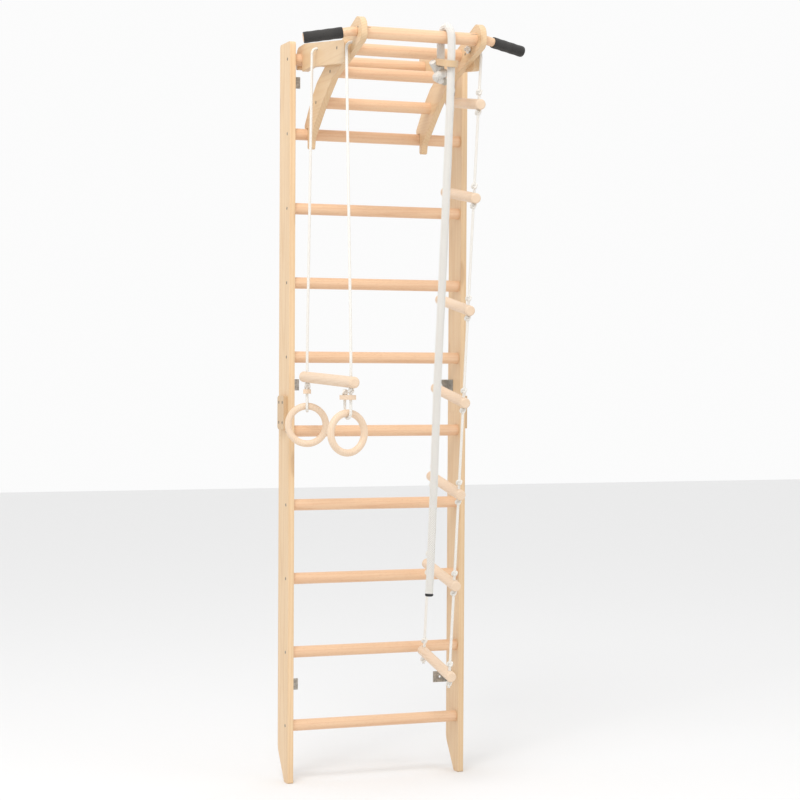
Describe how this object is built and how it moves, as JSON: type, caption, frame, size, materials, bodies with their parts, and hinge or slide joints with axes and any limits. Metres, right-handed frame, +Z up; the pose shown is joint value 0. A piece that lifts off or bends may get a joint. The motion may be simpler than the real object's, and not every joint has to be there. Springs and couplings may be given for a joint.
{
  "type": "wall bars with hanging gym set",
  "caption": "Wooden wall bars with a hook-on pull-up frame that carries a trapeze with rings, a climbing rope and a rope ladder.",
  "frame": {"origin": "on the wall plane, at the centre of the six wall bolt holes, which is on the centre line between the uprights", "axes": "+Z up, +Y into the wall (the bars' front faces -Y), X along the rungs"},
  "size_m": [0.67, 0.5902, 2.2073],
  "materials": {
    "board_wood": "clear satin varnish on solid pine boards",
    "rung_wood": "clear satin varnish on turned beech",
    "pale_wood": "clear satin varnish on pale turned birch",
    "zinc_plate": "zinc plated, pressed",
    "zinc_screws": "zinc plated",
    "foam": "matt closed-cell foam",
    "black_rubber": "satin",
    "thick_rope": "braided soft rope",
    "thin_rope": "braided cord"
  },
  "bodies": {
    "wall_bars": {"left_upright_lower": "board_wood", "left_upright_upper": "board_wood", "right_upright_lower": "board_wood", "right_upright_upper": "board_wood", "left_splice_block": "board_wood", "right_splice_block": "board_wood", "splice_screws": "zinc_screws", "rung_1": "rung_wood", "rung_2": "rung_wood", "rung_3": "rung_wood", "rung_4": "rung_wood", "rung_5": "rung_wood", "rung_6": "rung_wood", "rung_7": "rung_wood", "rung_8": "rung_wood", "rung_9": "rung_wood", "rung_10": "rung_wood", "rung_screws": "zinc_screws", "wall_brackets": "zinc_plate", "bracket_screws": "zinc_screws"},
    "pull_up_frame": {"left_arm": "board_wood", "right_arm": "board_wood", "left_hook_plate": "board_wood", "right_hook_plate": "board_wood", "front_cross_rung": "rung_wood", "middle_cross_rung": "rung_wood", "rear_cross_rung": "rung_wood", "pull_up_bar": "rung_wood", "left_handle": "rung_wood", "right_handle": "rung_wood", "left_grip": "foam", "right_grip": "foam", "frame_screws": "zinc_screws", "handle_bolts": "zinc_screws", "hanging_knots": "thin_rope", "hanging_rope_ends": "thin_rope"},
    "trapeze": {"back_trapeze_rope": "thin_rope", "front_trapeze_rope": "thin_rope", "trapeze_bar": "pale_wood", "trapeze_knots": "thin_rope", "back_adjuster": "pale_wood", "front_adjuster": "pale_wood"},
    "back_ring": {"back_ring": "pale_wood"},
    "front_ring": {"front_ring": "pale_wood"},
    "climbing_rope": {"climbing_rope": "thick_rope", "rope_plate": "pale_wood", "rope_knot": "thick_rope", "rope_end_cap": "black_rubber"},
    "rope_ladder": {"back_ladder_rope": "thin_rope", "front_ladder_rope": "thin_rope", "step_1": "pale_wood", "step_2": "pale_wood", "step_3": "pale_wood", "step_4": "pale_wood", "step_5": "pale_wood", "step_6": "pale_wood", "step_7": "pale_wood", "ladder_knots": "thin_rope"}
  },
  "joints": [
    {"name": "frame_lift", "type": "slide", "parent": "wall_bars", "child": "pull_up_frame", "axis": [0, 0, 1], "range_m": [0, 0.07]},
    {"name": "trapeze_swing", "type": "hinge", "parent": "pull_up_frame", "child": "trapeze", "pos_m": [-0.26, -0.225, 0.9527], "axis": [-0.0737, 0.9948, 0.0696], "range_deg": [-8, 50]},
    {"name": "back_ring_swing", "type": "hinge", "parent": "trapeze", "child": "back_ring", "pos_m": [-0.25187, -0.1689, -0.061], "axis": [0.9397, -0.342, 0], "range_deg": [-60, 30]},
    {"name": "front_ring_swing", "type": "hinge", "parent": "trapeze", "child": "front_ring", "pos_m": [-0.26037, -0.54238, -0.073], "axis": [0.9744, 0.225, 0], "range_deg": [-60, 60]},
    {"name": "climbing_rope_swing", "type": "hinge", "parent": "pull_up_frame", "child": "climbing_rope", "pos_m": [-0.0385, -0.504, 0.979], "axis": [1, 0, 0], "range_deg": [-60, 12]},
    {"name": "rope_ladder_swing", "type": "hinge", "parent": "pull_up_frame", "child": "rope_ladder", "pos_m": [0.183, -0.225, 0.9527], "axis": [-0.0737, -0.9948, -0.0696], "range_deg": [-6, 45]}
  ]
}
